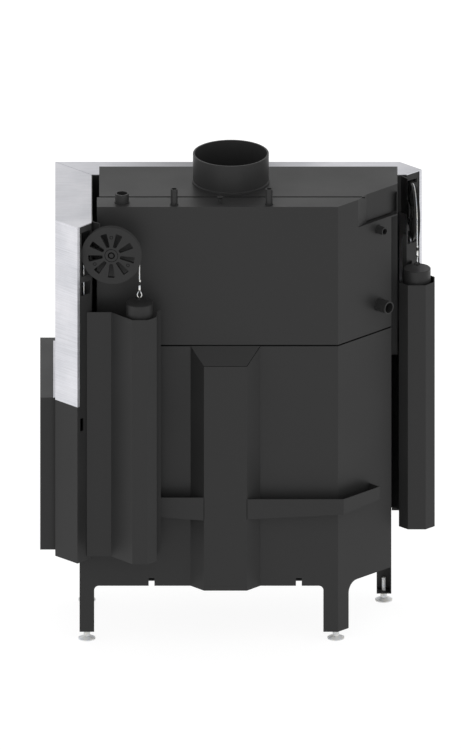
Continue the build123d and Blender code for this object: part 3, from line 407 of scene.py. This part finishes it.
# Zinc-plated steel, bright with faint bluish patches and turning marks
def zinc_plate(name, level, roughness, metallic=1.0):
    shader = Shader(name, Metallic=metallic)
    patches = shader.noise(scale=90.0, detail=4.0)
    cool = (level * 0.94, level * 0.98, level * 1.04, 1)
    warm = (level * 1.08, level * 1.06, level, 1)
    shader.colour(shader.ramp(patches, [(0.35, cool), (0.65, warm)]))
    shader.gloss(shader.spread(patches, low=roughness - 0.06, high=roughness + 0.08))
    turned = shader.noise(scale=1.0, detail=4.0, stretch=(60, 60, 1500))
    shader.bump(turned, strength=0.1, distance=0.0001)
    return shader.material


materials = {
    "black_paint": powder_coat("black_powder_coat", PAINT),
    "door_paint": powder_coat("door_matt_black", PAINT * 0.6, roughness=0.7, peel=0.2),
    "fire_ceramic": vermiculite("vermiculite"),
    "dark_steel": plain_metal("dark_sheet_steel", 0.16, roughness=0.45),
    "cast_iron": casting("grey_cast_iron", 0.07),
    "fitting_steel": powder_coat("blackened_tube", PAINT * 0.9, specular=0.3),
    "galvanised": brushed_sheet("galvanised_sheet", GALVANISED),
    "bracket_steel": powder_coat("bracket_coat", PAINT * 0.8, specular=0.3),
    "ceramic_glass": ceramic_glass("heat_proof_glass"),
    "handle_steel": plain_metal("satin_stainless", 0.55, roughness=0.3),
    "pulley_iron": powder_coat("pulley_coat", PAINT * 0.95, peel=0.25),
    "wire_rope": zinc_plate("rope_wire", 0.88, roughness=0.35),
    "cable_fitting": zinc_plate("pressed_sleeve", 0.82, roughness=0.25),
    "weight_steel": powder_coat("weight_coat", PAINT * 0.95),
    "zinc_foot": zinc_plate("foot_zinc", 0.92, roughness=0.4, metallic=0.15),
}
# The front casing's sheet carries painted shade on its faces that look to the rear
finish_with_painted_shade = {"casing_front": brushed_sheet("galvanised_front_painted_shade", GALVANISED, painted_inside_shade=True)}
# Painted shade: near-black paint for thin lines that stand for the shade in seams, grooves and
# gaps
seam_shade = powder_coat("seam_shade", PAINT * 0.1, roughness=0.8, specular=0.05)
slot_of = {row["node"]: row["material_slot"] for row in frame["record"]["subparts"]}


# The CAD nodes keep their shape and get a finish
def dress_nodes():
    for name, piece in nodes.items():
        finish = finish_with_painted_shade.get(name, materials[slot_of[name]])
        piece.data.materials.clear()
        piece.data.materials.append(finish)


# Mesh helpers


def new_piece(name, mesh, slot, body=None, finish=None):
    mesh.materials.append(finish or materials[slot])
    piece = bpy.data.objects.new(name, mesh)
    bpy.context.scene.collection.objects.link(piece)
    if body is not None:
        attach(piece, body)
    return piece


# Turns a bmesh into a mesh
def finished(name, shape):
    mesh = bpy.data.meshes.new(name)
    shape.to_mesh(mesh)
    shape.free()
    return mesh


# Point at an angle of the circle that two directions span
def on_circle(centre, radius, angle, across, up):
    return centre + radius * (math.cos(angle) * across + math.sin(angle) * up)


# Directions square to a path, carried along it without twist
def path_frames(points):
    tangents = []
    for index in range(len(points)):
        before = points[max(index - 1, 0)]
        after = points[min(index + 1, len(points) - 1)]
        tangents.append((after - before).normalized())
    guess = Vector((1, 0, 0)) if abs(tangents[0].x) < 0.9 else Vector((0, 1, 0))
    side = (guess - tangents[0] * guess.dot(tangents[0])).normalized()
    frames = []
    for tangent in tangents:
        side = (side - tangent * side.dot(tangent)).normalized()
        frames.append((side, tangent.cross(side)))
    return frames


# Adds a closed tube along points to a bmesh
def add_tube(shape, points, radius, sides):
    rings = []
    for point, (across, up) in zip(points, path_frames(points)):
        ring = []
        for step in range(sides):
            angle = 2 * math.pi * step / sides
            ring.append(shape.verts.new(on_circle(point, radius, angle, across, up)))
        rings.append(ring)
    for near, far in zip(rings, rings[1:]):
        for step in range(sides):
            following = (step + 1) % sides
            face = shape.faces.new((near[step], near[following], far[following], far[step]))
            face.smooth = True
    shape.faces.new(list(reversed(rings[0])))
    shape.faces.new(rings[-1])


# One mesh of closed tubes, each given by its points, radius and sides
def tube_mesh(name, lines):
    shape = bmesh.new()
    for points, radius, sides in lines:
        add_tube(shape, points, radius, sides)
    return finished(name, shape)


# A closed profile of radii and heights turned round an upright axis
def turned_mesh(name, profile, centre, sides, sharp):
    shape = bmesh.new()
    rings = []
    for step in range(sides):
        angle = 2 * math.pi * step / sides
        outward = Vector((math.cos(angle), math.sin(angle), 0))
        ring = [centre + outward * radius + UP * height for radius, height in profile]
        rings.append([shape.verts.new(point) for point in ring])
    for index, near in enumerate(rings):
        far = rings[(index + 1) % sides]
        for step in range(len(profile)):
            following = (step + 1) % len(profile)
            face = shape.faces.new((near[step], far[step], far[following], near[following]))
            face.smooth = True
    mesh = finished(name, shape)
    mesh.set_sharp_from_angle(angle=sharp)
    return mesh


# Arc of a profile, from one angle in degrees to another
def profile_arc(middle, radius, start, end, steps=5):
    points = []
    for index in range(steps + 1):
        angle = math.radians(start + (end - start) * index / steps)
        points.append((middle[0] + radius * math.cos(angle), middle[1] + radius * math.sin(angle)))
    return points


# Ropes and pulleys


# Middle of a CAD node's box
def middle_of(node):
    low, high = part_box(node)
    return (low + high) / 2


# Level direction from the rope over the weight to the rope over the door
def across_pulley(side):
    across = middle_of("cable_door_run_" + side) - middle_of("cable_weight_run_" + side)
    across.z = 0
    return across.normalized()


# Strands laid round a core along a path, each a third of the rope's width
def rope_mesh(name, path):
    strand_r = ROPE_R / 3
    lay_r = ROPE_R - strand_r
    frames = path_frames(path)
    lengths = [0.0]
    for near, far in zip(path, path[1:]):
        lengths.append(lengths[-1] + (far - near).length)
    lines = [(path, strand_r, STRAND_SIDES)]
    for strand in range(ROPE_STRANDS):
        start = 2 * math.pi * strand / ROPE_STRANDS
        line = []
        for point, (across, up), length in zip(path, frames, lengths):
            angle = start + 2 * math.pi * length / ROPE_PITCH
            line.append(on_circle(point, lay_r, angle, across, up))
        lines.append((line, strand_r, STRAND_SIDES))
    return tube_mesh(name, lines)


def upright_path(x, y, bottom, top):
    count = max(2, math.ceil((top - bottom) / ROPE_STEP))
    return [Vector((x, y, bottom + (top - bottom) * index / count)) for index in range(count + 1)]


# Ropes down to the weight and the door, and the half turn over the pulley between them
def add_ropes(side):
    weight_run = middle_of("cable_weight_run_" + side)
    door_run = middle_of("cable_door_run_" + side)
    path = upright_path(weight_run.x, weight_run.y, ROPE_END - ROPE_TUCK, PULLEY_Z)
    piece = new_piece("rope_to_weight_" + side, rope_mesh("rope_to_weight", path), "wire_rope")
    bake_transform(piece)
    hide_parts("cable_weight_run_" + side)
    path = upright_path(door_run.x, door_run.y, DOOR_HOOK, PULLEY_Z)
    piece = new_piece("rope_to_door_" + side, rope_mesh("rope_to_door", path), "wire_rope")
    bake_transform(piece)
    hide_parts("cable_door_run_" + side)
    centre = (weight_run + door_run) / 2
    centre.z = PULLEY_Z
    reach = (door_run - weight_run) / 2
    reach.z = 0
    arc = []
    for index in range(ROPE_ARC_STEPS + 1):
        angle = math.pi * index / ROPE_ARC_STEPS
        arc.append(centre + math.cos(angle) * reach + UP * (math.sin(angle) * reach.length))
    mesh = rope_mesh("rope_over_pulley", arc)
    return new_piece("rope_over_pulley_" + side, mesh, "wire_rope", "root")


# The rope's loop, sleeve, neck and clip, and the weight's eye
def add_rope_end(side):
    run = middle_of("cable_weight_run_" + side)
    foot = Vector((run.x, run.y, WEIGHT_TOP))
    across = across_pulley(side)
    normal = across.cross(UP)
    loop = []
    eye = []
    for index in range(LOOP_STEPS + 1):
        turn = 2 * math.pi * index / LOOP_STEPS
        rise = (1 - math.cos(turn)) / 2
        wide = LOOP_WIDE * math.sin(turn) * (1 - LOOP_NARROWING * rise)
        loop.append(foot + across * wide + UP * (LOOP_LOW + (LOOP_HIGH - LOOP_LOW) * rise))
        eye.append(foot + normal * (EYE_R * math.sin(turn)) + UP * (EYE_UP + EYE_R * rise))
    body = "weight_" + side
    sleeve = [foot + UP * height for height in SLEEVE]
    clip = [foot + UP * height - across * CLIP_OFF for height in CLIP]
    neck = [foot + UP * (SLEEVE[1] - NECK_TUCK), foot + UP * (CLIP[0] + NECK_TUCK)]
    lines = [
        (loop, LOOP_R, LOOP_SIDES),
        (sleeve, SLEEVE_R, SLEEVE_SIDES),
        (clip, CLIP_R, SLEEVE_SIDES)]
    end = new_piece("rope_end_" + side, tube_mesh("rope_end", lines), "cable_fitting", body)
    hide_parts("cable_end_" + side)
    neck_mesh = tube_mesh("rope_neck", [(neck, NECK_R, NECK_SIDES)])
    new_piece("rope_neck_" + side, neck_mesh, "bracket_steel", body)
    eye_mesh = tube_mesh("weight_eye", [(eye, EYE_WIRE_R, EYE_SIDES)])
    new_piece("weight_eye_" + side, eye_mesh, "weight_steel", body)


# Rings round the hub and the pin, and marks left by the mould's pins, in a pulley's rear face,
# drawn as thin dark lines of painted shade in their grooves and gaps
def add_pulley_marks(side):
    across = across_pulley(side)
    outward = across.cross(UP)
    if outward.dot(OUTWARD[side]) < 0:
        outward.negate()
    face = middle_of("pulley_" + side) + outward * PULLEY_FACE
    rings = [(face, HUB_RING_R, SEAM_R), (face, PIN_GAP_R, PIN_GAP_WIDE)]
    for angle in MARK_ANGLES:
        middle = on_circle(face, MARK_OUT, math.radians(angle), across, UP)
        rings.append((middle, MARK_R, SEAM_R))
    lines = []
    for middle, radius, thick in rings:
        ring = []
        for step in range(RING_STEPS + 1):
            ring.append(on_circle(middle, radius, 2 * math.pi * step / RING_STEPS, across, UP))
        lines.append((ring, thick, SEAM_SIDES))
    mesh = tube_mesh("pulley_mark_shade", lines)
    new_piece("pulley_mark_shade_" + side, mesh, "pulley_iron", "pulley_" + side, finish=seam_shade)


# Body


# Hem that carries the recessed panel down to the ledge, with a gap along the cover
def add_pocket_hem():
    shape = bmesh.new()
    for near, far, foot in zip(HEM_LINE, HEM_LINE[1:], HEM_FOOTS):
        start = Vector((*near, 0))
        end = Vector((*far, 0))
        inward = UP.cross(end - start).normalized()
        if inward.x < 0:
            inward.negate()
        corners = [start, end, end + inward * HEM_THICK, start + inward * HEM_THICK]
        low = [shape.verts.new(corner + UP * foot) for corner in corners]
        high = [shape.verts.new(corner + UP * HEM_TOP) for corner in corners]
        shape.faces.new(low)
        shape.faces.new(high)
        for index in range(4):
            following = (index + 1) % 4
            shape.faces.new((low[index], low[following], high[following], high[index]))
    bmesh.ops.recalc_face_normals(shape, faces=shape.faces[:])
    new_piece("pocket_hem", finished("pocket_hem", shape), "black_paint", "root")


# Flue collar with a hollow weld at its foot and a rounded rim
def add_collar():
    low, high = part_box("flue_collar")
    centre = (low + high) / 2
    centre.z = low.z
    rim = high.z - low.z - COLLAR_ROUND
    profile = [(COLLAR_BORE, 0.0), (COLLAR_OUTER + COLLAR_WELD, 0.0)]
    profile += profile_arc((COLLAR_OUTER, COLLAR_WELD_UP), COLLAR_WELD, 0, 90)
    profile += profile_arc((COLLAR_OUTER - COLLAR_ROUND, rim), COLLAR_ROUND, 0, 90)
    profile += profile_arc((COLLAR_BORE + COLLAR_ROUND, rim), COLLAR_ROUND, 90, 180)
    mesh = turned_mesh("collar_turned", profile, centre, COLLAR_SIDES, COLLAR_SHARP)
    piece = new_piece("collar_turned", mesh, "black_paint", "root")
    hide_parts("flue_collar")


# Painted shade in the seams of the air duct: thin dark lines along its slanted head and where the
# channels meet its face
def add_duct_seams():
    low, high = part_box("rear_air_duct")
    middle = (low.x + high.x) / 2
    fold = high.z - DUCT_HEAD_DROP
    left = middle + DUCT_FACE_HALF
    right = middle - DUCT_FACE_HALF
    seams = [
        [Vector((left, high.y, fold)), Vector((right, high.y, fold))],
        [Vector((right, high.y, fold)), Vector((low.x, low.y, high.z))]]
    for channel, x in (("air_channel_left", left), ("air_channel_right", right)):
        channel_low, channel_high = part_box(channel)
        foot = max(channel_low.z, CHANNEL_SEAM_FOOT)
        seams.append([Vector((x, high.y, foot)), Vector((x, high.y, channel_high.z))])
    mesh = tube_mesh("duct_seam_shade", [(seam, SEAM_R, SEAM_SIDES) for seam in seams])
    new_piece("duct_seam_shade", mesh, "black_paint", "root", finish=seam_shade)


# Shade in the groove between the two parts of the top
def add_lid_seam():
    low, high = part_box("jacket_lid_rear")
    y = low.y - LID_SEAM_IN
    z = high.z - LID_SEAM_DOWN
    line = [Vector((high.x, y, z)), Vector((LID_SEAM_END, y, z))]
    mesh = tube_mesh("lid_seam", [(line, LID_SEAM_R, SEAM_SIDES)])
    new_piece("lid_seam", mesh, "black_paint", "root", finish=seam_shade)


# Stage: camera, sky, floor and lamps


def make_camera():
    data = bpy.data.cameras.new("camera")
    data.type = "ORTHO"
    data.ortho_scale = VIEW_HEIGHT
    data.clip_end = VIEW_CLIP_END
    camera = bpy.data.objects.new("camera", data)
    tilt = math.radians(VIEW_ELEVATION)
    back = Vector((0, math.cos(tilt), math.sin(tilt)))
    camera.location = Vector(VIEW_AIM) + back * VIEW_AWAY
    camera.rotation_mode = "QUATERNION"
    camera.rotation_quaternion = (-back).to_track_quat("-Z", "Y")
    bpy.context.scene.collection.objects.link(camera)
    bpy.context.scene.camera = camera


# White near the horizon and darker overhead
def make_world():
    world = bpy.data.worlds.new("studio")
    tree = Tree(world)
    sky = tree.nodes["Background"]
    fill(sky, Color=WHITE)
    direction = tree.node("ShaderNodeTexCoord")
    height = tree.axes(direction.outputs["Generated"])["Z"]
    fade = tree.node("ShaderNodeMapRange")
    fill(fade, From_Min=SKY_WHITE_TO, To_Min=1.0, To_Max=SKY_OVERHEAD)
    tree.join(height, fade.inputs["Value"])
    tree.join(fade.outputs["Result"], sky.inputs["Strength"])
    bpy.context.scene.world = world


# One for what the camera, glossy surfaces and see-through surfaces show, else zero
def seen_directly(tree):
    path = tree.node("ShaderNodeLightPath")
    seen = path.outputs["Is Camera Ray"]
    for ray in ("Is Glossy Ray", "Is Transmission Ray"):
        seen = tree.maths("MAXIMUM", seen, path.outputs[ray])
    return seen


# Floor that looks white but for the object's shadow, and lights the object as pale grey
def make_floor():
    mesh = bpy.data.meshes.new("floor")
    ways = ((-1, -1), (1, -1), (1, 1), (-1, 1))
    corners = [(x * FLOOR_HALF, y * FLOOR_HALF, 0) for x, y in ways]
    mesh.from_pydata(corners, [], [(0, 1, 2, 3)])
    floor = bpy.data.objects.new("floor", mesh)
    bpy.context.scene.collection.objects.link(floor)
    material = bpy.data.materials.new("pale_floor")
    tree = Tree(material)
    matt = tree.nodes["Principled BSDF"]
    fill(matt, Base_Color=grey(FLOOR_GREY), Roughness=0.9, Specular_IOR_Level=0.0)
    glow = tree.node("ShaderNodeEmission")
    fill(glow, Color=WHITE, Strength=FLOOR_GLOW)
    shade = tree.node("ShaderNodeBsdfDiffuse")
    fill(shade, Color=grey(FLOOR_SHADE))
    both = tree.node("ShaderNodeAddShader")
    tree.join(glow.outputs[0], both.inputs[0])
    tree.join(shade.outputs[0], both.inputs[1])
    choice = tree.node("ShaderNodeMixShader")
    tree.join(seen_directly(tree), choice.inputs["Fac"])
    tree.join(matt.outputs[0], choice.inputs[1])
    tree.join(both.outputs[0], choice.inputs[2])
    tree.join(choice.outputs[0], tree.nodes["Material Output"].inputs["Surface"])
    mesh.materials.append(material)


# Square area lamp that glossy surfaces don't mirror
def make_lamp(name, place, aim, size, watts):
    lamp = bpy.data.lights.new(name, "AREA")
    lamp.shape = "SQUARE"
    lamp.size = size
    lamp.energy = watts
    holder = bpy.data.objects.new(name, lamp)
    holder.location = place
    holder.rotation_mode = "QUATERNION"
    holder.rotation_quaternion = (Vector(aim) - Vector(place)).to_track_quat("-Z", "Y")
    holder.visible_glossy = False
    bpy.context.scene.collection.objects.link(holder)


make_camera()
make_world()
make_floor()
make_lamp("overhead_softbox", place=(0.3, -1.9, 3.6), aim=(0, 0, 1.1), size=2.4, watts=6.0)
make_lamp("front_softbox", place=(1.6, -4.2, 1.6), aim=(0, 0, 0.7), size=2.6, watts=25.0)
bpy.context.scene.view_settings.view_transform = "Standard"

dress_nodes()
for end in ("left", "right"):
    wrap = add_ropes(end)
    add_rope_end(end)
    add_pulley_marks(end)

# One node holds both turns of rope over the pulleys
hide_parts("cable_wraps")
add_duct_seams()
add_lid_seam()
add_pocket_hem()
add_collar()
